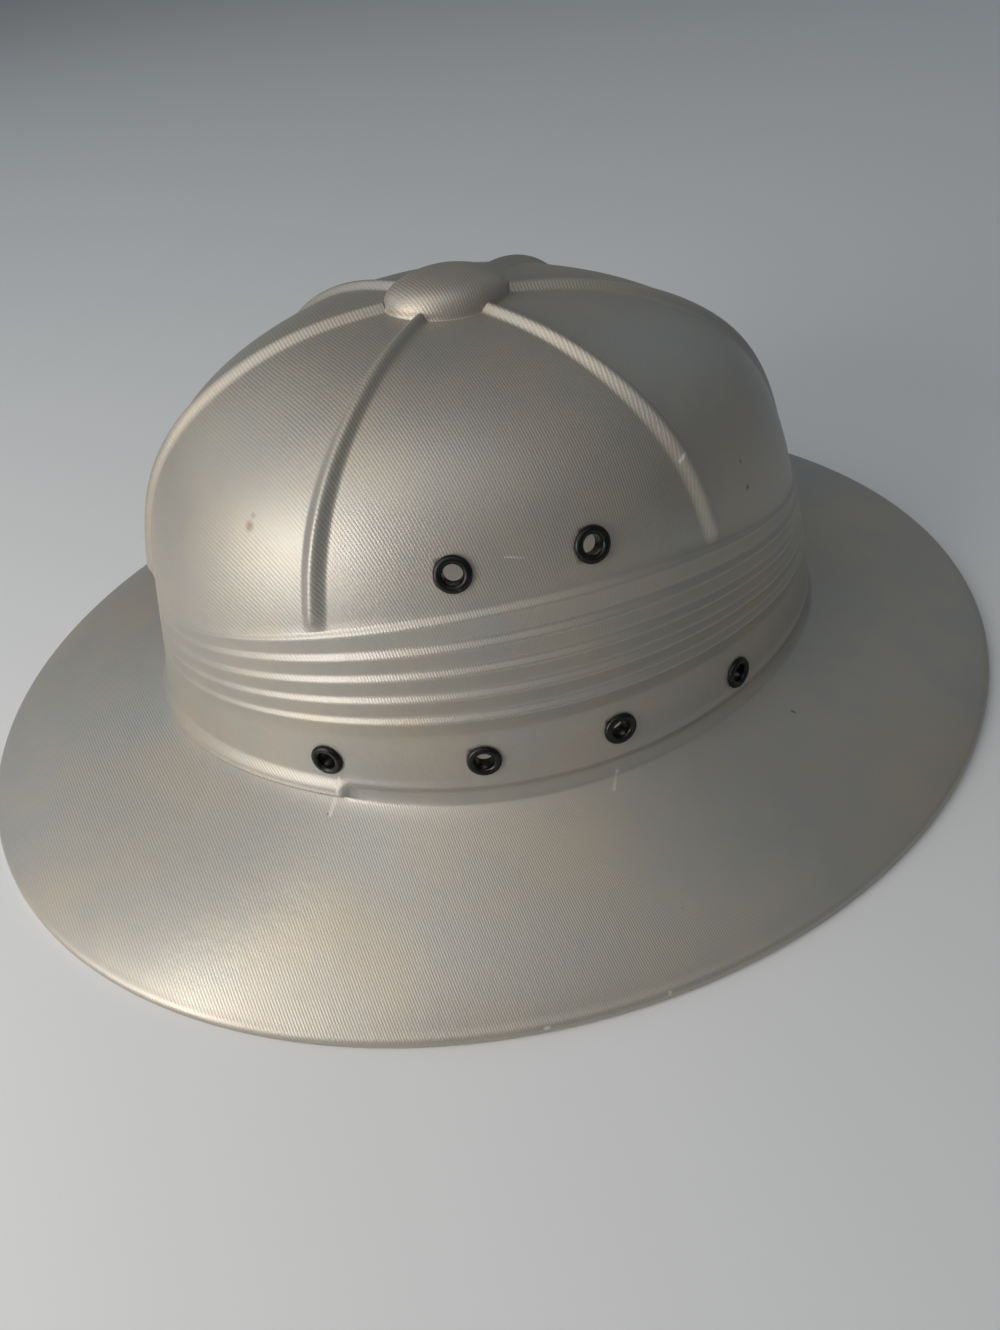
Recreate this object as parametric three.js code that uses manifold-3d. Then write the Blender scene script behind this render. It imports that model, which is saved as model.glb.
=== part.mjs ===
// Sun helmet pressed in one piece: a ribbed crown with a domed button, a pleated band, and a
// brim whose rim is turned down. Twelve black metal eyelets let the air through.
// Millimetres, +Z up, the front towards -Y, the wearer's right towards +X. The rim rests on
// Z = 0, and the brim is centred on X = 0 and Y = 0.
import * as THREE from 'three';
import { mergeVertices } from 'three/addons/utils/BufferGeometryUtils.js';
import Module from 'manifold-3d';

// Shell
const shellThickness = 2.2;
const shellColour = '#8f8b83';

// Brim, and the rim turned down around it
const brimLength = 340;
const brimWidth = 276;
const rimHeight = 4.2;

// Crown, measured where it meets the brim, and how far forward of the brim's middle it sits
const crownLength = 218.5;
const crownWidth = 171.5;
const crownForward = 3.4;
const crownTop = 126.8;
const crownPinch = 0.036;
const crownFoot = { front: 15.7, side: 27.7, rear: 22.1 };

// Button on top: the step round its edge, how full its dome is, the crease round its foot as a
// share of its own size, and the hollow in it as a share of its size and of the shell's thickness
const buttonLength = 33.5;
const buttonWidth = 28.5;
const buttonRise = 6.6;
const buttonStep = 1.8;
const buttonFullness = 2.6;
const buttonCrease = 1.08;
const buttonHollow = { size: 0.78, sunk: 1.4 };

// Ribs that run from the button down to the pleats, and how many degrees each side's two are
// turned from straight sideways
const ribWidth = 6.6;
const ribHeight = 1.6;
const ribTurns = { front: 32.9, rear: 34.4 };

// Pleats moulded round the crown, and the bead along its foot
const pleatDepth = 1.3;
const pleatFade = { front: 0.75, side: 1, rear: 0.15 };
const beadDepth = 0.7;
const beadLift = 4.2;

// Eyelets: the metal, the flange outside and the one rolled over inside, the outer flange's
// height near its edge as a share of its rise, and how much longer the barrel is than the
// shell is thick, because the shell curves behind the flat flanges
const eyeletBore = 4.9;
const eyeletMetal = 0.5;
const eyeletFlange = 9.3;
const eyeletFlangeRise = 1;
const eyeletFlangeEdge = 0.8;
const eyeletBackFlange = 7.8;
const eyeletBackRise = 0.7;
const eyeletClearance = 0.3;
const eyeletSlack = 0.8;
const eyeletSides = 14;
const punchLength = 16;
const eyeletColour = '#0b0b0a';

// The crown's outline from top to foot: height and width as shares of the crown's own
const crownSections = [
  { height: 1, width: 0 },
  { height: 0.975, width: 0.252 },
  { height: 0.92, width: 0.461 },
  { height: 0.82, width: 0.648 },
  { height: 0.68, width: 0.783 },
  { height: 0.5, width: 0.866 },
  { height: 0.3, width: 0.922 },
  { height: 0.12, width: 0.968 },
  { height: 0, width: 1 },
];

// Where each pleat's crest runs, as shares of the crown's height at the front, side and rear
const pleatCrests = [
  { front: 0.385, side: 0.548, rear: 0.372 },
  { front: 0.34, side: 0.473, rear: 0.336 },
  { front: 0.286, side: 0.405, rear: 0.288 },
  { front: 0.242, side: 0.336, rear: 0.246 },
  { front: 0.194, side: 0.267, rear: 0.201 },
];

// One pleat from its crest down: drop as a share of the gap to the next crest, and relief as
// a share of the pleat's depth
const pleatShape = [
  { drop: 0, relief: 1 },
  { drop: 0.3, relief: 0.35 },
  { drop: 0.78, relief: 0 },
];

// A rib across: place as a share of half its width, relief as a share of its height
const ribShape = [
  { across: -1, relief: 0 },
  { across: -0.55, relief: 0.72 },
  { across: 0, relief: 1 },
  { across: 0.55, relief: 0.72 },
  { across: 1, relief: 0 },
];

// The brim from the crown's foot to the rim: shares of its reach and of its drop
const brimSections = [
  { reach: 0, drop: 0 },
  { reach: 0.05, drop: 0.1 },
  { reach: 0.15, drop: 0.2 },
  { reach: 0.35, drop: 0.36 },
  { reach: 0.6, drop: 0.55 },
  { reach: 0.8, drop: 0.73 },
  { reach: 0.93, drop: 0.88 },
  { reach: 1, drop: 1 },
];

// The bead's section: lift as a share of its crest's, relief as a share of its depth
const beadShape = [
  { lift: 1.6, relief: 0 },
  { lift: 1, relief: 1 },
  { lift: 0.5, relief: 0 },
];

// The rim's section from its shoulder, which the brim runs into, round to the wall inside:
// inward from the brim's outline and height above the rest plane, as shares of the rim's height
const rimShape = [
  { inward: 0.55, height: 1 },
  { inward: 0.16, height: 0.84 },
  { inward: 0, height: 0.5 },
  { inward: 0.1, height: 0.16 },
  { inward: 0.32, height: 0 },
  { inward: 0.6, height: 0 },
  { inward: 0.68, height: 0.3 },
];

// Eyelets on each side, from front to rear: degrees turned from straight sideways, and height
// as a share of the crown's
const eyeletRows = {
  upper: [
    { turn: -11, height: 0.647 },
    { turn: 11, height: 0.647 },
  ],
  lower: [
    { turn: -34.2, height: 0.104 },
    { turn: -10.1, height: 0.134 },
    { turn: 10.1, height: 0.132 },
    { turn: 35, height: 0.12 },
  ],
};

// How finely the shell is laid out: steps across a panel, and rows down its outer and inner face
const panelSteps = 6;
const buttonRows = [0.35, 0.65, 0.88];
const panelRows = [0.1, 0.21, 0.33, 0.45, 0.57, 0.69, 0.81, 0.92, 0.98];
const undersideRows = [0.92, 0.7, 0.4, 0.06];
const liningRows = [0.05, 0.22, 0.4, 0.53, 0.64, 0.75, 0.85, 0.93, 0.975];

// The step in angle and place over which the surface's direction is measured, and the halvings
// that find a place on the crown's curve
const nudge = 0.002;
const halvings = 26;

const { degToRad, lerp } = THREE.MathUtils;
const sideAngle = Math.PI / 2;
const buttonFootShare = (buttonLength / crownLength) * buttonCrease;
const ribAngles = [
  0,
  sideAngle - degToRad(ribTurns.front),
  sideAngle + degToRad(ribTurns.rear),
  Math.PI,
  3 * sideAngle - degToRad(ribTurns.rear),
  3 * sideAngle + degToRad(ribTurns.front),
];
const crownCurve = sectionCurve(crownSections, 'width', 'height');
const brimCurve = sectionCurve(brimSections, 'reach', 'drop');

function sectionCurve(rows, across, along) {
  return new THREE.SplineCurve(rows.map((row) => new THREE.Vector2(row[across], row[along])));
}

// A value that swings smoothly round the helmet between its front, side and rear values
function aroundHelmet(angle, { front, side, rear }) {
  const swing = (front - rear) / 2;
  const lift = ((front + rear) / 2 - side) / 2;
  return side + lift + swing * Math.cos(angle) + lift * Math.cos(2 * angle);
}

// The crown in plan. Angles start at the front and turn towards the wearer's right.
function crownPlan(angle, share) {
  const size = share * (1 - crownPinch * Math.sin(2 * angle) ** 2);
  return new THREE.Vector2(
    (crownWidth / 2) * size * Math.sin(angle),
    -(crownLength / 2) * size * Math.cos(angle) - crownForward,
  );
}

// The brim's outline in plan, moved inwards by the given length
function brimPlan(angle, inward) {
  const outline = new THREE.Vector2(
    (brimWidth / 2) * Math.sin(angle),
    -(brimLength / 2) * Math.cos(angle),
  );
  const crown = crownPlan(angle, 1);
  return outline.lerp(crown, inward / outline.distanceTo(crown));
}

// The place along the crown's curve where one of its two shares has the wanted value
function placeOnCrown(axis, wanted) {
  const rising = axis === 'x';
  let low = 0;
  let high = 1;
  for (let halving = 0; halving < halvings; halving++) {
    const middle = (low + high) / 2;
    const short = rising === crownCurve.getPoint(middle)[axis] < wanted;
    if (short) {
      low = middle;
    } else {
      high = middle;
    }
  }
  return (low + high) / 2;
}

function crownSurface(angle, place) {
  const { x: width, y: height } = crownCurve.getPoint(place);
  const plan = crownPlan(angle, width);
  const foot = aroundHelmet(angle, crownFoot);
  return new THREE.Vector3(plan.x, plan.y, lerp(foot, crownTop, height));
}

function brimSurface(angle, place) {
  const { x: reach, y: drop } = brimCurve.getPoint(place);
  const plan = crownPlan(angle, 1).lerp(brimPlan(angle, rimShape[0].inward * rimHeight), reach);
  const foot = aroundHelmet(angle, crownFoot);
  return new THREE.Vector3(plan.x, plan.y, lerp(foot, rimHeight, drop));
}

// The outward direction of a surface that runs down from the top or out towards the rim
function outward(surface, angle, place) {
  const down = surface(angle, place + nudge).sub(surface(angle, place - nudge));
  const around = surface(angle + nudge, place).sub(surface(angle - nudge, place));
  return down.cross(around).normalize();
}

function raised(surface, angle, place, amount) {
  return surface(angle, place).addScaledVector(outward(surface, angle, place), amount);
}

// Half a rib's width as an angle, where the crown is the given share of its full width
function ribReach(angle, share) {
  const pace = Math.hypot(crownWidth * Math.cos(angle), crownLength * Math.sin(angle)) / 2;
  return ribWidth / 2 / (pace * Math.max(share, buttonFootShare));
}

// The angles of one ring of points: five across each rib and the rest even between the ribs
function ringColumns(share) {
  return ribAngles.flatMap((angle, index) => {
    const next = ribAngles[(index + 1) % ribAngles.length];
    const nextAngle = next > angle ? next : next + 2 * Math.PI;
    const reach = ribReach(angle, share);
    const from = angle + reach;
    const to = nextAngle - ribReach(next, share);
    const columns = ribShape.map(({ across, relief }) => ({ angle: angle + across * reach, relief }));
    for (let step = 1; step < panelSteps; step++) {
      columns.push({ angle: lerp(from, to, step / panelSteps), relief: 0 });
    }
    return columns;
  });
}

function ring(share, point) {
  return ringColumns(share).map(({ angle, relief }) => point(angle, relief));
}

// The button's size in one direction, as a share of the crown's
function buttonShare(angle) {
  const across = (crownWidth / buttonWidth) * Math.sin(angle);
  const along = (crownLength / buttonLength) * Math.cos(angle);
  return 1 / Math.hypot(across, along);
}

function buttonPlace(angle, share) {
  return placeOnCrown('x', buttonShare(angle) * share);
}

// The button is a full dome, set on a step
function buttonDome(angle, share, sunk) {
  const edge = crownSurface(angle, buttonPlace(angle, 1));
  const plan = crownPlan(angle, buttonShare(angle) * share);
  const fullness = Math.sqrt(1 - share ** buttonFullness);
  const height = lerp(edge.z + buttonStep, crownTop + buttonRise, fullness);
  return new THREE.Vector3(plan.x, plan.y, height - sunk);
}

function buttonRings() {
  const dome = buttonRows.map((share) => ring(buttonFootShare, (angle) => buttonDome(angle, share, 0)));
  const edge = ring(buttonFootShare, (angle, relief) => (
    raised(crownSurface, angle, buttonPlace(angle, 1), Math.max(buttonStep, relief * ribHeight))
  ));
  const foot = ring(buttonFootShare, (angle, relief) => (
    raised(crownSurface, angle, buttonPlace(angle, buttonCrease), relief * ribHeight)
  ));
  return [...dome, edge, foot];
}

// The height of a pleat's crest, moved down by a share of the gap to the next one
function pleatHeight(index, angle, drop) {
  const here = aroundHelmet(angle, pleatCrests[index]);
  const lower = Math.min(index, pleatCrests.length - 2);
  const gap = aroundHelmet(angle, pleatCrests[lower]) - aroundHelmet(angle, pleatCrests[lower + 1]);
  return here - gap * drop;
}

function pleatRings() {
  return pleatCrests.flatMap((crest, index) => pleatShape.map(({ drop, relief }) => (
    ring(crownSections.at(-3).width, (angle) => {
      const place = placeOnCrown('y', pleatHeight(index, angle, drop));
      return raised(crownSurface, angle, place, relief * pleatDepth * aroundHelmet(angle, pleatFade));
    })
  )));
}

// The panels end in the hollow above the first pleat, and the ribs end just before it
function panelRings() {
  const hollowAbove = pleatShape.at(-1).drop - 1;
  const rows = [...panelRows, 1];
  return rows.map((share) => {
    const sideStart = buttonPlace(sideAngle, buttonCrease);
    const sidePlace = lerp(sideStart, placeOnCrown('y', pleatCrests[0].side), share);
    return ring(crownCurve.getPoint(sidePlace).x, (angle, relief) => {
      const start = buttonPlace(angle, buttonCrease);
      const end = placeOnCrown('y', pleatHeight(0, angle, hollowAbove));
      const amount = share < 1 ? relief * ribHeight : 0;
      return raised(crownSurface, angle, lerp(start, end, share), amount);
    });
  });
}

// The plain band with the lower eyelets, then the bead, then the foot itself
function footRings() {
  const crest = beadLift / (crownTop - crownFoot.side);
  return beadShape.map(({ lift, relief }) => (
    ring(1, (angle) => raised(crownSurface, angle, placeOnCrown('y', crest * lift), relief * beadDepth))
  ));
}

function brimRings() {
  const last = brimSections.length - 1;
  return brimSections.map((section, index) => ring(1, (angle) => brimSurface(angle, index / last)));
}

// The turned-down rim, from below its shoulder on
function rimRings() {
  return rimShape.slice(1).map(({ inward, height }) => ring(1, (angle) => {
    const plan = brimPlan(angle, inward * rimHeight);
    return new THREE.Vector3(plan.x, plan.y, height * rimHeight);
  }));
}

function undersideRings() {
  return undersideRows.map((place) => (
    ring(1, (angle) => raised(brimSurface, angle, place, -shellThickness))
  ));
}

// The inner face of the crown: smooth, one shell thickness inside, up into the hollow button
function innerRings() {
  const crown = liningRows.map((height) => {
    const place = placeOnCrown('y', height);
    return ring(crownCurve.getPoint(place).x, (angle) => (
      raised(crownSurface, angle, place, -shellThickness)
    ));
  });
  const hollow = ring(buttonFootShare, (angle) => (
    buttonDome(angle, buttonHollow.size, shellThickness * buttonHollow.sunk)
  ));
  return [...crown, hollow];
}

// Two poles joined by rings of equal count, each ring below the one before on the outer face
function closedShell(topPole, rings, innerPole) {
  const count = rings[0].length;
  const points = [topPole, ...rings.flat(), innerPole];
  const index = [];
  for (let column = 0; column < count; column++) {
    const here = 1 + column;
    const beside = 1 + ((column + 1) % count);
    index.push(0, here, beside);
    for (let row = 0; row + 1 < rings.length; row++) {
      const upper = row * count;
      const lower = upper + count;
      index.push(here + upper, here + lower, beside + lower);
      index.push(here + upper, beside + lower, beside + upper);
    }
    const lastRing = (rings.length - 1) * count;
    index.push(here + lastRing, points.length - 1, beside + lastRing);
  }
  const geometry = new THREE.BufferGeometry().setFromPoints(points);
  geometry.setIndex(index);
  return geometry;
}

function shellGeometry() {
  const rings = [
    ...buttonRings(),
    ...panelRings(),
    ...pleatRings(),
    ...footRings(),
    ...brimRings(),
    ...rimRings(),
    ...undersideRings(),
    ...innerRings(),
  ];
  const topPole = new THREE.Vector3(0, -crownForward, crownTop + buttonRise);
  const innerPole = new THREE.Vector3(0, -crownForward, crownTop + buttonRise - shellThickness);
  return closedShell(topPole, rings, innerPole);
}

// An eyelet's axis is Y, with its outside face up and the shell's outer face at Y = 0
function eyeletGeometry() {
  const bore = eyeletBore / 2;
  const barrel = bore + eyeletMetal;
  const flange = eyeletFlange / 2;
  const seat = eyeletClearance;
  const back = -shellThickness - eyeletClearance - eyeletSlack;
  const profile = [
    [bore, seat],
    [bore, back - eyeletBackRise],
    [eyeletBackFlange / 2, back],
    [barrel, back],
    [barrel, seat],
    [flange, seat],
    [flange - eyeletMetal, seat + eyeletFlangeRise * eyeletFlangeEdge],
    [barrel, seat + eyeletFlangeRise],
    [bore, seat],
  ];
  return new THREE.LatheGeometry(profile.map(([x, y]) => new THREE.Vector2(x, y)), eyeletSides);
}

function eyeletSeats() {
  const sides = {
    right: (turn) => sideAngle + degToRad(turn),
    left: (turn) => 3 * sideAngle - degToRad(turn),
  };
  const seats = [];
  for (const [rowName, row] of Object.entries(eyeletRows)) {
    for (const [sideName, angleOf] of Object.entries(sides)) {
      for (const [index, { turn, height }] of row.entries()) {
        const place = placeOnCrown('y', height);
        const axis = outward(crownSurface, angleOf(turn), place);
        seats.push({
          name: `eyelet_${rowName}_${sideName}_${index + 1}`,
          position: crownSurface(angleOf(turn), place),
          quaternion: new THREE.Quaternion().setFromUnitVectors(new THREE.Vector3(0, 1, 0), axis),
        });
      }
    }
  }
  return seats;
}

function toSolid(wasm, geometry) {
  const bare = geometry.clone();
  bare.deleteAttribute('normal');
  bare.deleteAttribute('uv');
  const merged = mergeVertices(bare, 1e-5);
  return new wasm.Manifold(new wasm.Mesh({
    numProp: 3,
    vertProperties: new Float32Array(merged.attributes.position.array),
    triVerts: new Uint32Array(merged.index.array),
  }));
}

function fromSolid(solid) {
  const mesh = solid.getMesh();
  const geometry = new THREE.BufferGeometry();
  geometry.setAttribute('position', new THREE.BufferAttribute(mesh.vertProperties, 3));
  geometry.setIndex(new THREE.BufferAttribute(mesh.triVerts, 1));
  return geometry;
}

// The shell with a round hole for each eyelet's barrel
function piercedShell(wasm, seats) {
  const radius = eyeletBore / 2 + eyeletMetal + eyeletClearance;
  let solid = toSolid(wasm, shellGeometry());
  for (const seat of seats) {
    const punch = new THREE.CylinderGeometry(radius, radius, punchLength, eyeletSides);
    const placed = new THREE.Matrix4().compose(seat.position, seat.quaternion, new THREE.Vector3(1, 1, 1));
    punch.applyMatrix4(placed);
    solid = solid.subtract(toSolid(wasm, punch));
  }
  return fromSolid(solid);
}

const wasm = await Module();
wasm.setup();

const shellMaterial = new THREE.MeshStandardMaterial({
  color: shellColour,
  roughness: 0.42,
  metalness: 0.15,
  flatShading: true,
});
const eyeletMaterial = new THREE.MeshStandardMaterial({
  color: eyeletColour,
  roughness: 0.25,
  metalness: 0.6,
  flatShading: true,
});

const helmet = new THREE.Group();
const seats = eyeletSeats();

const shell = new THREE.Mesh(piercedShell(wasm, seats), shellMaterial);
shell.name = 'shell';
helmet.add(shell);

for (const seat of seats) {
  const eyelet = new THREE.Mesh(eyeletGeometry(), eyeletMaterial);
  eyelet.name = seat.name;
  eyelet.position.copy(seat.position);
  eyelet.quaternion.copy(seat.quaternion);
  helmet.add(eyelet);
}

export default helmet;
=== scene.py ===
from math import pi, radians

import bmesh
import bpy
import numpy as np
from mathutils import Matrix, Vector


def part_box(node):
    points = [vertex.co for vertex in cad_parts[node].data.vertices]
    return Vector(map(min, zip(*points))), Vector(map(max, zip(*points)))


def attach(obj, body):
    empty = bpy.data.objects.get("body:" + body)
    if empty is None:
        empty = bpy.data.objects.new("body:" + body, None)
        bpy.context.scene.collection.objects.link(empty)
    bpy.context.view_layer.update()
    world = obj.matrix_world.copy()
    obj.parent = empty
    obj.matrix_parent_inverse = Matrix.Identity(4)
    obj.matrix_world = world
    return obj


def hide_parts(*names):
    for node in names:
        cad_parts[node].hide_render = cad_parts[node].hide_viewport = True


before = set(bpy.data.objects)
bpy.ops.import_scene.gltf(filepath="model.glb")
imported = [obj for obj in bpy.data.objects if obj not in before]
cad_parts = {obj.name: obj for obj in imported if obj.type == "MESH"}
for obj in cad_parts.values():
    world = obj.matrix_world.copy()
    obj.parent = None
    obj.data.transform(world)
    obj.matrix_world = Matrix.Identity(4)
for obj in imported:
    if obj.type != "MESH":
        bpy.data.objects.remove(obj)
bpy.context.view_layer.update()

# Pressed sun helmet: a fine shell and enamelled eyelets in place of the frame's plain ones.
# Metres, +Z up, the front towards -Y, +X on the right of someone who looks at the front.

mm = 0.001
shellLow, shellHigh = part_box("shell")


def meshObject(name, bm, smooth=True):
    mesh = bpy.data.meshes.new(name)
    bm.to_mesh(mesh)
    bm.free()
    mesh.polygons.foreach_set("use_smooth", [smooth] * len(mesh.polygons))
    piece = bpy.data.objects.new(name, mesh)
    bpy.context.scene.collection.objects.link(piece)
    return piece


def applyModifiers(piece):
    bpy.context.view_layer.update()
    seen = piece.evaluated_get(bpy.context.evaluated_depsgraph_get())
    finished = bpy.data.meshes.new_from_object(seen)
    piece.modifiers.clear()
    piece.data = finished


def smoothStep(low, high, value):
    share = np.clip((value - low) / (high - low), 0, 1)
    return share * share * (3 - 2 * share)


def blendValues(low, high, share):
    return low + (high - low) * share


# One smooth curve through the rows of a table, read at a place from 0 to 1
def tableCurve(rows):
    points = np.array(rows, float)
    last = len(points) - 1
    matrix = np.eye(last + 1)
    pull = np.zeros_like(points)
    for row in range(1, last):
        matrix[row, row - 1:row + 2] = (1, 4, 1)
        pull[row] = 6 * (points[row - 1] - 2 * points[row] + points[row + 1])
    bend = np.linalg.solve(matrix, pull)

    def read(place):
        steps = np.clip(np.asarray(place, float), 0, 1) * last
        row = np.minimum(steps.astype(int), last - 1)
        share = (steps - row)[..., None]
        rest = 1 - share
        return (rest * points[row] + share * points[row + 1]
                + (rest ** 3 - rest) * bend[row] / 6
                + (share ** 3 - share) * bend[row + 1] / 6)
    return read


# The helmet's form; its length, width and height come from the solid's box
form = dict(
    brimLength=shellHigh.y - shellLow.y,
    brimWidth=shellHigh.x - shellLow.x,
    top=shellHigh.z,
    thickness=2.2 * mm,
    rimHeight=4.2 * mm,
    crownLength=218.5 * mm,
    crownWidth=171.5 * mm,
    crownForward=3.4 * mm,
    crownPinch=0.036,
    crownRear=2.3 * mm,     # how much fuller the back of the crown stands than the front
    foot=dict(front=15.7 * mm, side=27.7 * mm, rear=22.1 * mm),     # where crown and brim meet
    # height and width of the crown, as shares, from the top down
    crownRows=((1, 0), (0.975, 0.252), (0.92, 0.461), (0.82, 0.648), (0.68, 0.783),
               (0.5, 0.866), (0.3, 0.922), (0.12, 0.968), (0, 1)),
    # reach and drop of the brim, as shares, from the crown's foot out
    brimRows=((0, 0), (0.05, 0.07), (0.15, 0.17), (0.35, 0.35), (0.6, 0.57), (0.8, 0.765),
              (0.93, 0.91), (1, 1)),
    # the rim from its shoulder round to the wall inside: shares of its height, inwards and up
    rimRows=((0.55, 1), (0.2, 0.82), (0, 0.48), (0.1, 0.15), (0.32, 0), (0.6, 0), (0.68, 0.3)),
)
button = dict(
    length=32.4 * mm, width=24.2 * mm, rise=6.6 * mm,
    fullness=2.9,       # 2 gives a plain dome, more a flatter top with rounder sides
    step=0.7 * mm, stepCurl=4,      # the small step under the dome and how fast it dies away
    crease=1.05,        # how far out the step ends, as a share of the button's size
)
rib = dict(
    width=8.0 * mm, height=2.0 * mm,
    topShare=0.6,       # width at the button, as a share of the width at the foot
    front=radians(34.2), rear=radians(34.4),    # turned from straight sideways
    run=0.11, end=2.4 * mm,     # rough length of a rib and of its fading end
)
pleats = dict(
    depth=1.25 * mm,
    fade=dict(front=0.6, side=1, rear=0.04),
    bow=1.2,            # 1 gives a straight face, more a hollow one
    hollow=0.72,        # how far down a pleat its face runs before the next ledge starts
    crests=(dict(front=0.385, side=0.548, rear=0.372), dict(front=0.34, side=0.473, rear=0.336),
            dict(front=0.286, side=0.405, rear=0.288), dict(front=0.242, side=0.336, rear=0.246),
            dict(front=0.194, side=0.267, rear=0.201)),
)
bead = dict(top=7.6 * mm, lift=5.2 * mm, depth=0.4 * mm, width=2.4 * mm)
fillet = dict(
    reach=3.5 * mm,     # how far the foot's hollow curve goes up the wall and out over the brim
    start=0.45,         # share of the foot's rows that lie above it
)
# Behind the seam a sloping ledge takes the bead's place: where it starts, ends and turns under
ledge = dict(
    top=6.4 * mm, shoulder=2.2 * mm, under=0.9 * mm, depth=1.4 * mm, lip=0.3 * mm,
    seam=radians(32), seamWidth=0.016,      # turned back from straight sideways
    end=0.82,           # share of the foot's rows that lie on it, the rest run out over the brim
)
crownTop = form["top"] - button["rise"]
wallReach = crownTop - form["foot"]["side"]

crownCurve = tableCurve(form["crownRows"])
brimCurve = tableCurve(form["brimRows"])
rimCurve = tableCurve(form["rimRows"])
places = np.linspace(0, 1, 2001)
heightsByPlace, widthsByPlace = crownCurve(places).T


# A value that goes smoothly round the helmet, from its values at front, side and rear
def aroundHelmet(angle, ends):
    swing = (ends["front"] - ends["rear"]) / 2
    lift = ((ends["front"] + ends["rear"]) / 2 - ends["side"]) / 2
    return ends["side"] + lift + swing * np.cos(angle) + lift * np.cos(2 * angle)


# A place is how far down the crown's curve a point lies: 0 at the top, 1 at the foot
def placeAtHeight(height):
    return np.interp(-height, -heightsByPlace, places)


def placeAtWidth(width):
    return np.interp(width, widthsByPlace, places)


def crownPlan(angle, share):
    size = share * (1 - form["crownPinch"] * np.sin(2 * angle) ** 2)
    return (form["crownWidth"] / 2 * size * np.sin(angle),
            -form["crownLength"] / 2 * size * np.cos(angle) - form["crownForward"])


# The brim's outline in plan, moved inwards by the given length
def brimPlan(angle, inward):
    x, y = form["brimWidth"] / 2 * np.sin(angle), -form["brimLength"] / 2 * np.cos(angle)
    crownX, crownY = crownPlan(angle, 1)
    share = inward / np.hypot(x - crownX, y - crownY)
    return blendValues(x, crownX, share), blendValues(y, crownY, share)


def crownSurface(angle, place):
    shares = crownCurve(place)
    x, y = crownPlan(angle, shares[..., 1])
    foot = aroundHelmet(angle, form["foot"])
    height = blendValues(foot, crownTop, shares[..., 0])
    behind = ((1 - np.cos(angle)) / 2) ** 2
    height = height + form["crownRear"] * behind * 4 * shares[..., 1] * (1 - shares[..., 1])
    return np.stack([x, y, height], -1)


def brimSurface(angle, place):
    shares = brimCurve(place)
    innerX, innerY = crownPlan(angle, 1)
    outerX, outerY = brimPlan(angle, form["rimRows"][0][0] * form["rimHeight"])
    foot = aroundHelmet(angle, form["foot"])
    return np.stack([blendValues(innerX, outerX, shares[..., 0]),
                     blendValues(innerY, outerY, shares[..., 0]),
                     blendValues(foot, form["rimHeight"], shares[..., 1])], -1)


# Points of a surface, moved straight out of it by the given amount
def raised(surface, angle, place, amount):
    nudge = 0.002
    place = np.broadcast_to(np.asarray(place, float), np.shape(angle))
    low = np.maximum(place - nudge, 0)
    high = np.minimum(place + nudge, 1)
    down = surface(angle, high) - surface(angle, low)
    around = surface(angle + nudge, place) - surface(angle - nudge, place)
    outward = np.cross(down, around)
    outward /= np.linalg.norm(outward, axis=-1, keepdims=True)
    return surface(angle, place) + outward * np.asarray(amount)[..., None]


# Columns of the shell: close together across each rib, even between the ribs
grid = dict(
    ribColumns=12, panelColumns=20,
    ribMargin=1.3,      # how far the close columns reach, as a share of half a rib's width
    ledgeHeight=0.5, pleatHeight=0.4,   # crown heights that set the columns of the pleats' rows
)
ribAngles = [0, pi / 2 - rib["front"], pi / 2 + rib["rear"],
             pi, 3 * pi / 2 - rib["rear"], 3 * pi / 2 + rib["front"]]
sectorColumns = 2 * (grid["ribColumns"] + grid["panelColumns"])
columnCount = sectorColumns * len(ribAngles)


def columnAngles(share):
    share = max(share, button["length"] / form["crownLength"] * button["crease"])
    angles = []
    across = []
    for index, ribAngle in enumerate(ribAngles):
        nextAngle = ribAngles[(index + 1) % len(ribAngles)]
        if nextAngle < ribAngle:
            nextAngle += 2 * pi
        reaches = []
        for angle in (ribAngle, nextAngle):
            pace = np.hypot(form["crownWidth"] * np.cos(angle),
                            form["crownLength"] * np.sin(angle)) / 2
            width = rib["width"] * blendValues(rib["topShare"], 1, share)
            reaches.append(width / 2 / (pace * share))
        margin = grid["ribMargin"]
        steps = np.arange(grid["ribColumns"]) / grid["ribColumns"] * margin
        start = ribAngle + reaches[0] * margin
        end = nextAngle - reaches[1] * margin
        middle = np.arange(2 * grid["panelColumns"]) / (2 * grid["panelColumns"])
        angles += [ribAngle + steps * reaches[0], blendValues(start, end, middle),
                   nextAngle - (margin - steps) * reaches[1]]
        across += [steps, np.full(len(middle), margin), margin - steps]
    return np.concatenate(angles), np.concatenate(across)


def ribRelief(across):
    return np.cos(pi / 2 * np.clip(across, 0, 1)) ** 2


# Rows of the shell's outer face, from the top of the button to the rim
rowCounts = dict(dome=18, step=7, panel=34, topLedge=4, pleat=11, band=7, bead=22, brim=28, rim=16)
brimCrowding = 1.15     # more than 1 sets the brim's rows closer at the crown's foot


# The button's size in the given direction, as a share of the crown's
def buttonShare(angle):
    return 1 / np.hypot(form["crownWidth"] / button["width"] * np.sin(angle),
                        form["crownLength"] / button["length"] * np.cos(angle))


def domeRow(turn):
    angle, _ = columnAngles(0)
    share = np.sin(turn) ** (2 / button["fullness"])
    edge = crownSurface(angle, placeAtWidth(buttonShare(angle)))[:, 2] + button["step"]
    x, y = crownPlan(angle, buttonShare(angle) * share)
    return np.stack([x, y, blendValues(edge, form["top"], np.cos(turn))], -1)


def stepRow(share):
    angle, across = columnAngles(0)
    place = placeAtWidth(buttonShare(angle) * blendValues(1, button["crease"], share))
    step = button["step"] * (1 - share) ** button["stepCurl"]
    return raised(crownSurface, angle, place, np.maximum(step, ribRelief(across) * rib["height"]))


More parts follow.
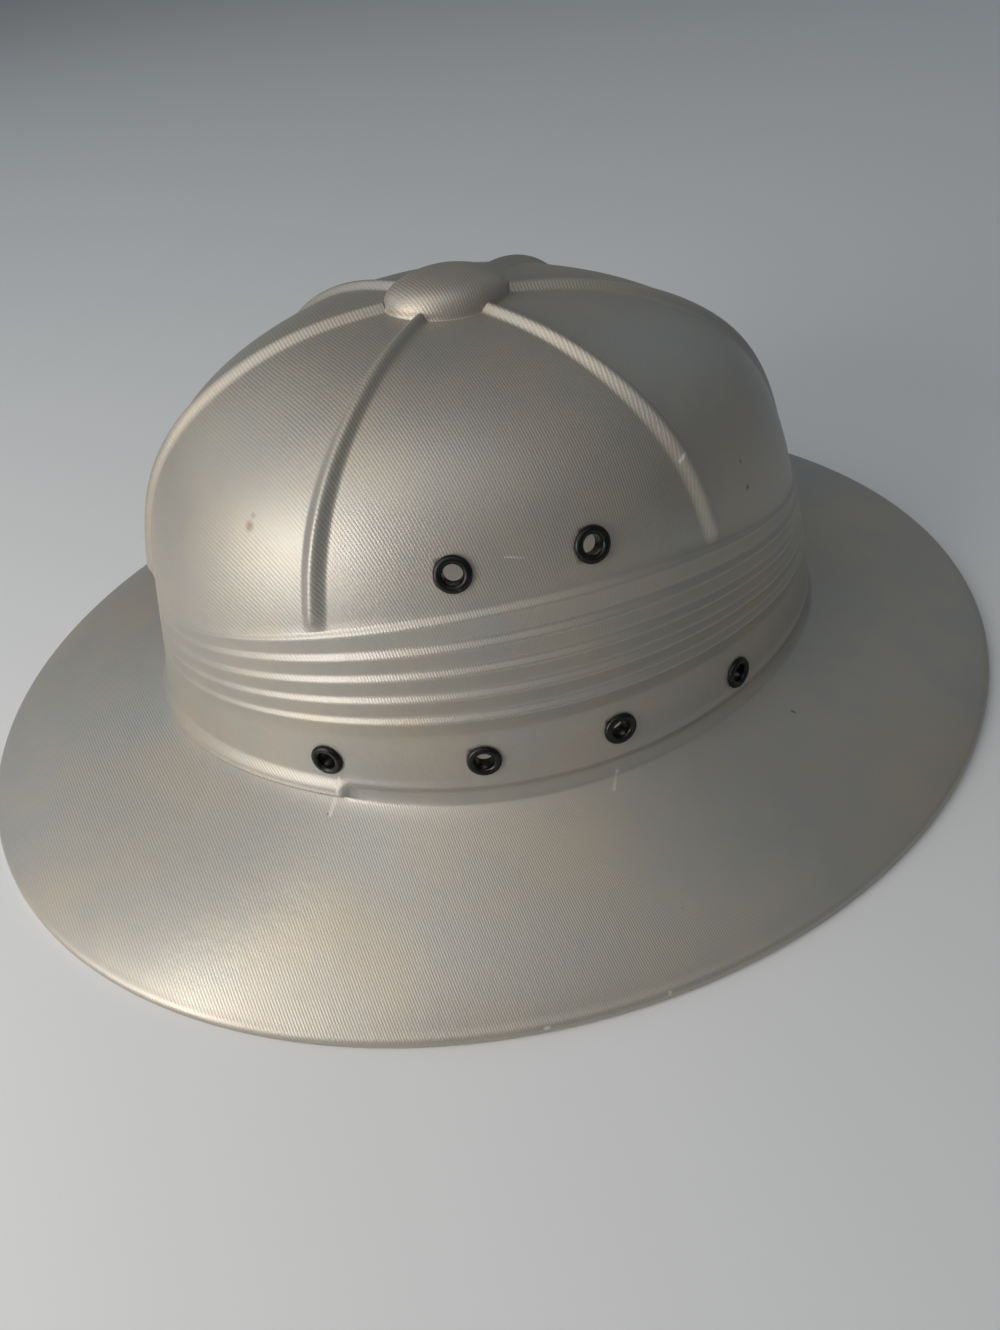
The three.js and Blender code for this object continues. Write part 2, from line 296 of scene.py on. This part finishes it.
# Height on the crown of a pleat's crest, less the given share of the way to the next one
def pleatHeight(index, angle, drop):
    crests = pleats["crests"]
    lower = min(index, len(crests) - 2)
    gap = aroundHelmet(angle, crests[lower]) - aroundHelmet(angle, crests[lower + 1])
    return aroundHelmet(angle, crests[index]) - gap * drop


def panelRow(share):
    sideStart = placeAtWidth(buttonShare(pi / 2) * button["crease"])
    sideEnd = placeAtHeight(pleats["crests"][0]["side"])
    angle, across = columnAngles(crownCurve(blendValues(sideStart, sideEnd, share))[1])
    start = placeAtWidth(buttonShare(angle) * button["crease"])
    end = placeAtHeight(pleatHeight(0, angle, pleats["hollow"] - 1))
    place = blendValues(start, end, share)
    ending = smoothStep(0, rib["end"], (1 - share) * rib["run"])
    return raised(crownSurface, angle, place, ribRelief(across) * rib["height"] * ending)


def pleatFace(drop):
    return np.clip(1 - drop / pleats["hollow"], 0, 1) ** pleats["bow"]


def pleatRelief(drop):
    return np.maximum(pleatFace(drop), smoothStep(pleats["hollow"], 1, drop))


def pleatRow(index, drop):
    height = grid["ledgeHeight"] if drop < 0 else grid["pleatHeight"]
    angle, _ = columnAngles(crownCurve(placeAtHeight(height))[1])
    if drop < 0:        # above the crest lies a ledge, as over the other crests
        relief = pleatRelief(1 + drop)
    else:
        last = index == len(pleats["crests"]) - 1
        relief = pleatFace(drop) if last else pleatRelief(drop)
    amount = relief * pleats["depth"] * aroundHelmet(angle, pleats["fade"])
    return raised(crownSurface, angle, placeAtHeight(pleatHeight(index, angle, drop)), amount)


def bandRow(share):
    angle, _ = columnAngles(1)
    top = pleatHeight(len(pleats["crests"]) - 1, angle, pleats["hollow"])
    bottom = bead["top"] / wallReach
    return crownSurface(angle, placeAtHeight(blendValues(top, bottom, share)))


# Whether an angle lies behind the seam: 1 where the ledge runs, 0 where the bead runs
def behindSeam(angle):
    seam = np.sin(ledge["seam"])
    return smoothStep(seam - ledge["seamWidth"], seam + ledge["seamWidth"], -np.cos(angle))


def filletEnd(angle):
    innerX, innerY = crownPlan(angle, 1)
    outerX, outerY = brimPlan(angle, form["rimRows"][0][0] * form["rimHeight"])
    return fillet["reach"] / np.hypot(outerX - innerX, outerY - innerY)


def ledgeRow(angle, lift):
    shelf = ledge["depth"] * smoothStep(ledge["top"], ledge["shoulder"], lift)
    shelf += ledge["lip"] * smoothStep(ledge["shoulder"], ledge["under"], lift)
    shelf *= smoothStep(0, ledge["under"], lift)
    return raised(crownSurface, angle, placeAtHeight(lift / wallReach), np.full(len(angle), shelf))


# Down the wall over the bead, then round the hollow curve onto the brim
def filletRow(angle, share):
    if share < fillet["start"]:
        lift = blendValues(bead["top"], fillet["reach"], share / fillet["start"])
        crest = bead["depth"] * np.exp(-((lift - bead["lift"]) / (bead["width"] / 2)) ** 2)
        amount = np.full(len(angle), crest)
        return raised(crownSurface, angle, placeAtHeight(lift / wallReach), amount)
    turn = (share - fillet["start"]) / (1 - fillet["start"])
    wall = crownSurface(angle, np.full(len(angle), placeAtHeight(fillet["reach"] / wallReach)))
    corner = crownSurface(angle, np.ones(len(angle)))
    floor = brimSurface(angle, filletEnd(angle))
    return (1 - turn) ** 2 * wall + 2 * turn * (1 - turn) * corner + turn ** 2 * floor


def beadRow(share):
    angle, _ = columnAngles(1)
    front = filletRow(angle, share)
    if share < ledge["end"]:
        rear = ledgeRow(angle, blendValues(bead["top"], 0, share / ledge["end"]))
    else:
        rear = brimSurface(angle, filletEnd(angle) * (share - ledge["end"]) / (1 - ledge["end"]))
    return blendValues(front, rear, behindSeam(angle)[:, None])


def brimRow(share):
    angle, _ = columnAngles(1)
    return brimSurface(angle, blendValues(filletEnd(angle), 1, share))


def rimRow(share):
    angle, _ = columnAngles(1)
    inward, height = rimCurve(share) * form["rimHeight"]
    x, y = brimPlan(angle, inward)
    return np.stack([x, y, np.full(len(angle), max(height, 0))], -1)


def outerRows():
    rows = [domeRow(pi / 2 * step / rowCounts["dome"]) for step in range(1, rowCounts["dome"] + 1)]
    rows += [stepRow(step / rowCounts["step"]) for step in range(1, rowCounts["step"] + 1)]
    rows += [panelRow(step / rowCounts["panel"]) for step in range(1, rowCounts["panel"] + 1)]
    for step in range(1, rowCounts["topLedge"]):
        drop = blendValues(pleats["hollow"], 1, step / rowCounts["topLedge"]) - 1
        rows.append(pleatRow(0, drop))
    for index in range(len(pleats["crests"])):
        last = index == len(pleats["crests"]) - 1
        end = pleats["hollow"] if last else 1
        rows += [pleatRow(index, end * step / rowCounts["pleat"])
                 for step in range(rowCounts["pleat"])]
    rows += [bandRow(step / rowCounts["band"]) for step in range(rowCounts["band"])]
    rows += [beadRow(step / rowCounts["bead"]) for step in range(rowCounts["bead"])]
    rows += [brimRow((step / rowCounts["brim"]) ** brimCrowding)
             for step in range(rowCounts["brim"] + 1)]
    rows += [rimRow(step / rowCounts["rim"]) for step in range(1, rowCounts["rim"] + 1)]
    return np.array(rows)


# Rows of the inner face, from the hollow under the button to the rim
inside = dict(
    topRows=5, crownRows=34, brimRows=16,
    topStart=0.15, topEnd=0.9, topSize=0.86,    # the part of the dome it follows, made smaller
    topGap=1.4,         # depth under the button's face, in wall thicknesses
    footHeight=0.02,    # where it turns onto the brim, as a share of the crown's height
    brimStart=0.06, brimEnd=0.96,       # shares of the brim's reach
)


def innerRows():
    rows = []
    middle = np.array([0, -form["crownForward"]])
    for turn in np.linspace(inside["topStart"], inside["topEnd"], inside["topRows"]) * pi / 2:
        row = domeRow(turn)
        row[:, :2] = blendValues(middle, row[:, :2], inside["topSize"])
        row[:, 2] -= form["thickness"] * inside["topGap"]
        rows.append(row)
    depth = np.full(columnCount, -form["thickness"])
    sideStart = placeAtWidth(buttonShare(pi / 2) * button["crease"])
    end = placeAtHeight(inside["footHeight"])
    for share in np.linspace(0, 1, inside["crownRows"]):
        angle, _ = columnAngles(crownCurve(blendValues(sideStart, end, share))[1])
        start = placeAtWidth(buttonShare(angle) * button["crease"])
        rows.append(raised(crownSurface, angle, blendValues(start, end, share), depth))
    angle, _ = columnAngles(1)
    for place in np.linspace(inside["brimStart"], inside["brimEnd"], inside["brimRows"]):
        rows.append(raised(brimSurface, angle, place, depth))
    return np.array(rows)


# A round net of rings, spun from one spoke of points, then moved onto the helmet's form
def spunNet(rowCount):
    bm = bmesh.new()
    spoke = [bm.verts.new((row, 0, 0)) for row in range(rowCount + 1)]
    edges = [bm.edges.new(pair) for pair in zip(spoke, spoke[1:])]
    bmesh.ops.spin(bm, geom=spoke + edges, axis=(0, 0, 1), cent=(0, 0, 0), angle=2 * pi,
                   steps=columnCount, use_merge=True)
    bmesh.ops.remove_doubles(bm, verts=bm.verts, dist=0.001)    # the rows are still one unit apart
    return bm


def shapeNet(bm, pole, rows, clothLengths):
    uvLayer = bm.loops.layers.uv.new("cloth")
    places = {}
    for vert in bm.verts:
        row = round(vert.co.xy.length)
        column = round(np.arctan2(vert.co.y, vert.co.x) / (2 * pi) * columnCount) % columnCount
        places[vert] = (row - 1, column)
    for face in bm.faces:
        for loop in face.loops:
            row, column = places[loop.vert]
            loop[uvLayer].uv = (0, 0) if row < 0 else clothLengths[row, column]
    for vert, (row, column) in places.items():
        vert.co = pole if row < 0 else rows[row, column]


# Where each point lay in the flat cloth before it was pressed: half stretched, half sheared
def clothPlaces(rows):
    axis = np.array([0, -form["crownForward"]])
    plan = rows[:, :, :2] - axis
    planLength = np.linalg.norm(plan, axis=2, keepdims=True)
    steps = np.linalg.norm(np.diff(rows, axis=0), axis=2)
    along = np.concatenate([planLength[:1, :, 0], steps]).cumsum(axis=0)[..., None]
    along = along.mean(axis=1, keepdims=True)
    return plan / planLength * (planLength + along) / 2


def makeShell():
    outer = outerRows()
    inner = innerRows()
    bm = spunNet(len(outer))
    shapeNet(bm, (0, -form["crownForward"], form["top"]), outer, clothPlaces(outer))
    bmesh.ops.recalc_face_normals(bm, faces=bm.faces)
    innerNet = spunNet(len(inner))
    innerTop = form["top"] - form["thickness"] * inside["topGap"]
    shapeNet(innerNet, (0, -form["crownForward"], innerTop), inner, clothPlaces(inner))
    for face in innerNet.faces:
        face.material_index = 1
    innerMesh = bpy.data.meshes.new("inner_face")
    innerNet.to_mesh(innerMesh)
    innerNet.free()
    bm.from_mesh(innerMesh)
    bpy.data.meshes.remove(innerMesh)
    rims = [edge for edge in bm.edges if edge.is_boundary]
    bridged = bmesh.ops.bridge_loops(bm, edges=rims)
    bmesh.ops.recalc_face_normals(bm, faces=bm.faces)
    shell = meshObject("pressed_shell", bm)
    print("shell", len(outer), "outer rows", len(inner), "inner rows",
          len(shell.data.polygons), "faces", len(bridged["faces"]), "rim faces")
    return shell


# Eyelets: turned from one section and set square to the shell
eyelet = dict(
    bore=4.9 * mm, metal=0.5 * mm, flange=9.3 * mm, flangeRise=1.0 * mm, backFlange=7.8 * mm,
    backRise=0.7 * mm, clearance=0.3 * mm, slack=0.8 * mm,
    edge=0.15 * mm, throat=0.4 * mm, flare=0.35 * mm, flareRise=0.6,
    steps=48, rollSteps=17, backSteps=7, punchDepth=14 * mm,
    # degrees turned from straight sideways and share of the crown's height, from front to rear
    rows=dict(upper=((-11, 0.647), (11, 0.647)),
              lower=((-34.2, 0.104), (-10.1, 0.134), (10.1, 0.132), (35, 0.12))),
)


def eyeletSeats():
    seats = {}
    for row, spots in eyelet["rows"].items():
        for side, middle, way in (("right", pi / 2, 1), ("left", 3 * pi / 2, -1)):
            for index, (degrees, height) in enumerate(spots):
                name = f"eyelet_{row}_{side}_{index + 1}"
                angle = np.array([middle + way * radians(degrees)])
                place = placeAtHeight(height)
                seat = Vector(crownSurface(angle, np.array([place]))[0])
                tip = Vector(raised(crownSurface, angle, place, np.array([10 * mm]))[0])
                turn = Vector((0, 0, 1)).rotation_difference(tip - seat)
                seats[name] = Matrix.Translation(seat) @ turn.to_matrix().to_4x4()
    return seats


def arc(centreX, centreZ, radius, start, end, count):
    turns = np.radians(np.linspace(start, end, count))
    return [(centreX + radius * np.cos(t), centreZ + radius * np.sin(t)) for t in turns]


def eyeletSection():
    bore = eyelet["bore"] / 2
    barrel = bore + eyelet["metal"]
    flange = eyelet["flange"] / 2
    seat = eyelet["clearance"]
    back = -form["thickness"] - eyelet["clearance"] - eyelet["slack"]
    lip = (flange - bore) / 2
    rollRise = eyelet["flangeRise"] / lip
    half = arc(bore + lip, seat, lip, 0, 180, eyelet["rollSteps"])
    roll = [(x, seat + (z - seat) * rollRise) for x, z in half]
    backBead = eyelet["backRise"] / 2
    backRoll = arc(eyelet["backFlange"] / 2 - backBead, back - backBead, backBead, -90, 90,
                   eyelet["backSteps"])
    return [(barrel, seat), (flange - eyelet["edge"], seat), *roll, (bore, -eyelet["throat"]),
            (bore, back - backBead * eyelet["flareRise"]),
            (bore + eyelet["flare"], back - 2 * backBead), *backRoll, (barrel, back)]


def makeEyelet(name, seat):
    bm = bmesh.new()
    section = [bm.verts.new((x, 0, z)) for x, z in eyeletSection()]
    edges = [bm.edges.new((a, b)) for a, b in zip(section, section[1:] + section[:1])]
    bmesh.ops.spin(bm, geom=section + edges, axis=(0, 0, 1), cent=(0, 0, 0), angle=2 * pi,
                   steps=eyelet["steps"], use_merge=True)
    bmesh.ops.remove_doubles(bm, verts=bm.verts, dist=0.001 * mm)
    bmesh.ops.recalc_face_normals(bm, faces=bm.faces)
    bmesh.ops.transform(bm, matrix=seat, verts=bm.verts)
    return meshObject(name, bm)


def pierceShell(shell, seats):
    bm = bmesh.new()
    radius = eyelet["bore"] / 2 + eyelet["metal"] + eyelet["clearance"]
    for seat in seats.values():
        bmesh.ops.create_cone(bm, cap_ends=True, segments=eyelet["steps"], radius1=radius,
                              radius2=radius, depth=eyelet["punchDepth"], matrix=seat)
    punch = meshObject("punch", bm)
    cut = shell.modifiers.new("holes", "BOOLEAN")
    cut.operation = "DIFFERENCE"
    cut.solver = "MANIFOLD"
    cut.object = punch
    applyModifiers(shell)
    bpy.data.objects.remove(punch)
    print("pierced", len(seats), "holes,", len(shell.data.polygons), "faces")


def newMaterial(name):
    material = bpy.data.materials.new(name)
    material.use_nodes = True
    nodes = material.node_tree.nodes
    nodes.clear()
    shader = nodes.new("ShaderNodeBsdfPrincipled")
    output = nodes.new("ShaderNodeOutputMaterial")
    material.node_tree.links.new(shader.outputs["BSDF"], output.inputs["Surface"])
    return material, shader


def addNode(material, kind, inputs=None, **settings):
    node = material.node_tree.nodes.new(kind)
    for name, value in settings.items():
        setattr(node, name, value)
    for socket, value in (inputs or {}).items():
        if isinstance(value, bpy.types.NodeSocket):
            material.node_tree.links.new(value, node.inputs[socket])
        else:
            node.inputs[socket].default_value = value
    return node


def mathNode(material, operation, *values):
    node = addNode(material, "ShaderNodeMath", dict(enumerate(values)), operation=operation)
    return node.outputs[0]


def vectorNode(material, operation, inputs):
    return addNode(material, "ShaderNodeVectorMath", inputs, operation=operation)


def noiseNode(material, place, scale, detail, roughness=0.5):
    inputs = {"Vector": place, "Scale": scale, "Detail": detail, "Roughness": roughness}
    return addNode(material, "ShaderNodeTexNoise", inputs).outputs["Fac"]


def bumpNode(material, height, depth, strength, under=None):
    inputs = {"Height": height, "Distance": depth, "Strength": strength}
    if under is not None:
        inputs["Normal"] = under
    return addNode(material, "ShaderNodeBump", inputs).outputs["Normal"]


def rangeNode(material, value, low, high, toLow=0.0, toHigh=1.0):
    inputs = {"Value": value, "From Min": low, "From Max": high, "To Min": toLow, "To Max": toHigh}
    return addNode(material, "ShaderNodeMapRange", inputs, clamp=True).outputs["Result"]


# Sockets 0, 6 and 7 of a colour mix are its share and its two colours, output 2 the result
def mixColours(material, share, first, second):
    inputs = {0: share, 6: first, 7: second}
    return addNode(material, "ShaderNodeMix", inputs, data_type="RGBA").outputs[2]


def colour(red, green, blue):
    shares = [channel / 255 for channel in (red, green, blue)]
    linear = [c / 12.92 if c <= 0.04045 else ((c + 0.055) / 1.055) ** 2.4 for c in shares]
    return (*linear, 1)


skin = dict(
    warm=colour(180, 172, 159), cool=colour(168, 167, 162), cloudScale=26.0,
    metallic=0.62, roughness=0.46,
    smoother=0.03, rougher=0.05,    # how far the roughness wanders down and up
    twillPitch=0.82 * mm, twillTurn=radians(75), twillWander=0.6,
    twillDepth=0.05 * mm, twillStrength=0.6, grainScale=1400.0, grainShare=0.9,
    dentScale=210.0, dentDepth=0.16 * mm, dentStrength=0.35,
    rubbedDents=0.9, rubbedGloss=0.12,      # where the skin is rubbed and crinkled
    stain=colour(112, 88, 66), stainShare=0.6, speck=colour(70, 64, 56), speckShare=0.75,
    chalk=colour(214, 210, 202), chalkShare=0.8, chalkRoughness=0.2,
)
# Marks of wear: the ends of each in millimetres, then its half width and how far it fades
marks = dict(
    chalk=(((-84.7, -19.6, 27.4), (-88.8, -17.3, 24.8), 0.2, 0.35),
           ((-53.4, -46.7, 99.0), (-52.6, -48.7, 100.9), 0.25, 0.4),
           ((-67.8, 0.8, 94.3), (-68.5, -3.7, 93.3), 0.1, 0.2),
           ((-60.9, -136.6, 8.0), (-61.2, -136.4, 8.0), 0.25, 0.35),
           ((-137.1, 16.4, 3.2), (-137.2, 15.6, 3.3), 0.35, 0.4),
           ((-137.2, -15.6, 3.0), (-136.8, -15.8, 3.3), 0.3, 0.3),
           ((-68.4, 53.9, 33.2), (-70.1, 55.5, 29.3), 0.2, 0.4),
           ((-69.5, 56.7, 26.1), (-73.0, 58.9, 24.2), 0.3, 0.5)),
    speck=(((-74.2, 126.1, 9.3), (-74.0, 126.0, 9.3), 0.25, 0.4),
           ((-73.0, -76.9, 18.2), (-73.6, -77.5, 18.1), 0.15, 0.35),
           ((-120.3, -25.2, 12.0), (-120.4, -25.2, 12.0), 0.3, 0.5),
           ((-46.8, -68.7, 81.8), (-46.8, -68.7, 81.7), 0.1, 0.9),
           ((-44.4, -67.2, 88.7), (-44.4, -67.2, 88.6), 0.1, 0.7),
           ((-72.5, 59.4, 24.3), (-72.6, 59.5, 24.2), 0.15, 0.25),
           ((-62.1, 49.1, 71.4), (-62.1, 49.1, 71.2), 0.15, 0.25),
           ((-19.4, 35.5, 122.4), (-19.4, 35.6, 122.3), 0.1, 0.4)),
    stain=(((-41.0, 57.5, 99.3), (-40.8, 57.2, 99.6), 0.3, 1.3),
           ((-40.2, 55.8, 101.8), (-40.2, 55.9, 101.7), 0.2, 0.8)),
    rub=(((-57.5, -42.2, 95.4), (-61.5, -46.0, 84.0), 2.5, 5.0),
         ((-97.1, 99.9, 8.8), (-93.7, 76.0, 14.4), 5.0, 16.0)),
)


# How near a point is to the line between two others: 1 on it, 0 beyond the fading edge
def nearLine(material, place, start, end, width, fade):
    begin = Vector(start) * mm
    along = Vector(end) * mm - begin
    fromStart = vectorNode(material, "SUBTRACT", {0: place, 1: begin}).outputs["Vector"]
    scaled = along / along.length_squared
    travelled = vectorNode(material, "DOT_PRODUCT", {0: fromStart, 1: scaled}).outputs["Value"]
    share = addNode(material, "ShaderNodeClamp", {"Value": travelled}).outputs["Result"]
    foot = vectorNode(material, "SCALE", {0: along, "Scale": share}).outputs["Vector"]
    apart = vectorNode(material, "DISTANCE", {0: fromStart, 1: foot}).outputs["Value"]
    return rangeNode(material, apart, width * mm, (width + fade) * mm, 1.0, 0.0)


def markMask(material, place, rows):
    total = None
    for row in rows:
        near = nearLine(material, place, *row)
        total = near if total is None else mathNode(material, "MAXIMUM", total, near)
    return total


def shellMaterial():
    material, shader = newMaterial("satin_skin")
    cloth = addNode(material, "ShaderNodeUVMap", uv_map="cloth").outputs["UV"]
    place = addNode(material, "ShaderNodeTexCoord").outputs["Object"]
    cloud = noiseNode(material, place, skin["cloudScale"], 5.0, 0.6)
    grain = noiseNode(material, place, skin["grainScale"], 2.0)
    scuff = noiseNode(material, place, skin["dentScale"], 6.0, 0.7)
    rubbed = markMask(material, place, marks["rub"])
    chalk = markMask(material, place, marks["chalk"])

    # raised slanting lines of the embossed cloth, broken up a little by the grain
    turned = addNode(material, "ShaderNodeMapping",
                     {"Vector": cloth, "Rotation": (0, 0, skin["twillTurn"])}).outputs["Vector"]
    twill = addNode(material, "ShaderNodeTexWave",
                    {"Vector": turned, "Scale": pi / 10 / skin["twillPitch"],
                     "Distortion": skin["twillWander"], "Detail": 1.0, "Detail Scale": 0.35},
                    wave_type="BANDS", bands_direction="X").outputs["Fac"]
    grain = mathNode(material, "MULTIPLY", grain, skin["grainShare"])
    relief = mathNode(material, "ADD", twill, grain)
    bump = bumpNode(material, relief, skin["twillDepth"], skin["twillStrength"])
    dentStrength = rangeNode(material, rubbed, 0, 1, skin["dentStrength"], skin["rubbedDents"])
    dents = bumpNode(material, scuff, skin["dentDepth"], dentStrength, bump)

    tone = mixColours(material, rangeNode(material, cloud, 0.35, 0.65), skin["cool"], skin["warm"])
    for kind in ("stain", "speck", "chalk"):
        mask = chalk if kind == "chalk" else markMask(material, place, marks[kind])
        share = mathNode(material, "MULTIPLY", mask, skin[kind + "Share"])
        tone = mixColours(material, share, tone, skin[kind])

    rough = rangeNode(material, cloud, 0.3, 0.7,
                      skin["roughness"] - skin["smoother"], skin["roughness"] + skin["rougher"])
    gloss = mathNode(material, "MULTIPLY", rubbed, skin["rubbedGloss"])
    rough = mathNode(material, "SUBTRACT", rough, gloss)
    chalkRough = mathNode(material, "MULTIPLY", chalk, skin["chalkRoughness"])

    links = material.node_tree.links
    links.new(dents, shader.inputs["Normal"])
    links.new(tone, shader.inputs["Base Color"])
    links.new(mathNode(material, "ADD", rough, chalkRough), shader.inputs["Roughness"])
    shader.inputs["Metallic"].default_value = skin["metallic"]
    return material


plainFace = dict(
    base=colour(98, 86, 64), roughness=0.75,
    fibreScale=480.0, fibreDepth=0.2 * mm, fibreStrength=0.4,
)


def innerMaterial():
    material, shader = newMaterial("plain_inside")
    place = addNode(material, "ShaderNodeTexCoord").outputs["Object"]
    fibre = noiseNode(material, place, plainFace["fibreScale"], 4.0)
    bump = bumpNode(material, fibre, plainFace["fibreDepth"], plainFace["fibreStrength"])
    material.node_tree.links.new(bump, shader.inputs["Normal"])
    shader.inputs["Base Color"].default_value = plainFace["base"]
    shader.inputs["Roughness"].default_value = plainFace["roughness"]
    return material


enamel = dict(
    base=colour(9, 10, 8), worn=colour(58, 56, 48), wornFrom=0.66, wornTo=0.74,
    glossy=0.22, dull=0.42, specular=0.35,
    scuffScale=420.0, scuffDepth=0.03 * mm, scuffStrength=0.3,
)


def eyeletMaterial():
    material, shader = newMaterial("black_enamel")
    place = addNode(material, "ShaderNodeTexCoord").outputs["Object"]
    scuff = noiseNode(material, place, enamel["scuffScale"], 3.0)
    worn = rangeNode(material, scuff, enamel["wornFrom"], enamel["wornTo"])
    tone = mixColours(material, worn, enamel["base"], enamel["worn"])
    bump = bumpNode(material, scuff, enamel["scuffDepth"], enamel["scuffStrength"])
    rough = rangeNode(material, scuff, 0.3, 0.7, enamel["glossy"], enamel["dull"])
    links = material.node_tree.links
    links.new(tone, shader.inputs["Base Color"])
    links.new(bump, shader.inputs["Normal"])
    links.new(rough, shader.inputs["Roughness"])
    shader.inputs["Specular IOR Level"].default_value = enamel["specular"]
    return material


stage = dict(
    floorSize=16, floorColour=colour(226, 228, 229), floorRoughness=0.85,
    worldColour=colour(220, 229, 238), worldStrength=0.16,
    aimHeight=0.06,     # the height that every lamp looks at, over the middle
)
lamps = dict(
    key=dict(at=(-0.3, 0.6, 0.28), size=(0.34, 0.44), power=2.8, colour=(1, 0.93, 0.87)),
    window=dict(at=(-0.35, 0.95, 1.5), size=(1.0, 1.0), power=5.8, colour=(1, 0.96, 0.9)),
    side=dict(at=(0.6, 1.0, 0.75), size=(1.0, 1.0), power=2.0, colour=(0.8, 0.91, 1)),
    near=dict(at=(-0.75, 0, 1.7), size=(1.4, 1.4), power=3.1, colour=(0.98, 0.98, 0.97)),
    front=dict(at=(0.6, -1.0, 0.75), size=(0.9, 0.9), power=0.5, colour=(0.74, 0.89, 1)),
    hollow=dict(at=(0, 0, 0.1), size=(0.05, 0.08), power=0.026, colour=(1, 0.93, 0.82)),
)
# Where the camera stands, where its picture's right and down point, and its lens
cameraPlace = dict(
    at=Vector((-0.22724, 0.02564, 0.22337)),
    right=Vector((-0.228, -0.968, -0.104)),
    down=Vector((-0.68, 0.234, -0.694)),
    lens=24.29, sensor=36, nearest=0.01,
)


def makeStage():
    bm = bmesh.new()
    bmesh.ops.create_grid(bm, x_segments=1, y_segments=1, size=stage["floorSize"] / 2)
    floor = meshObject("floor", bm, smooth=False)
    material, shader = newMaterial("pale_floor")
    shader.inputs["Base Color"].default_value = stage["floorColour"]
    shader.inputs["Roughness"].default_value = stage["floorRoughness"]
    floor.data.materials.append(material)


def makeLight(name, light):
    lamp = bpy.data.lights.new(name, "AREA")
    lamp.shape = "RECTANGLE"
    lamp.size, lamp.size_y = light["size"]
    lamp.energy = light["power"]
    lamp.color = light["colour"]
    piece = bpy.data.objects.new(name, lamp)
    piece.location = light["at"]
    aim = Vector((0, 0, stage["aimHeight"])) - Vector(light["at"])
    piece.rotation_euler = aim.to_track_quat("-Z", "Y").to_euler()
    bpy.context.scene.collection.objects.link(piece)


def makeWorld():
    world = bpy.data.worlds.new("pale_room")
    world.use_nodes = True
    sky = world.node_tree.nodes["Background"]
    sky.inputs["Color"].default_value = stage["worldColour"]
    sky.inputs["Strength"].default_value = stage["worldStrength"]
    bpy.context.scene.world = world


def makeCamera():
    lens = bpy.data.cameras.new("camera")
    lens.lens = cameraPlace["lens"]
    lens.sensor_width = cameraPlace["sensor"]
    lens.clip_start = cameraPlace["nearest"]
    camera = bpy.data.objects.new("camera", lens)
    right = cameraPlace["right"].normalized()
    up = -cameraPlace["down"].normalized()
    up = (up - right * up.dot(right)).normalized()
    turn = Matrix((right, up, right.cross(up))).transposed()
    camera.matrix_world = Matrix.Translation(cameraPlace["at"]) @ turn.to_4x4()
    bpy.context.scene.collection.objects.link(camera)
    bpy.context.scene.camera = camera


makeStage()
for name, light in lamps.items():
    makeLight(name, light)
makeWorld()
makeCamera()
bpy.context.scene.view_settings.view_transform = "Standard"
print("stage ready")

seats = eyeletSeats()
shell = makeShell()
pierceShell(shell, seats)
shell.data.materials.clear()
shell.data.materials.append(shellMaterial())
shell.data.materials.append(innerMaterial())
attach(shell, "root")
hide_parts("shell")

blackEnamel = eyeletMaterial()
for name, seat in seats.items():
    piece = makeEyelet("enamelled_" + name, seat)
    piece.data.materials.append(blackEnamel)
    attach(piece, "root")
    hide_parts(name)
print("eyelets", len(seats))
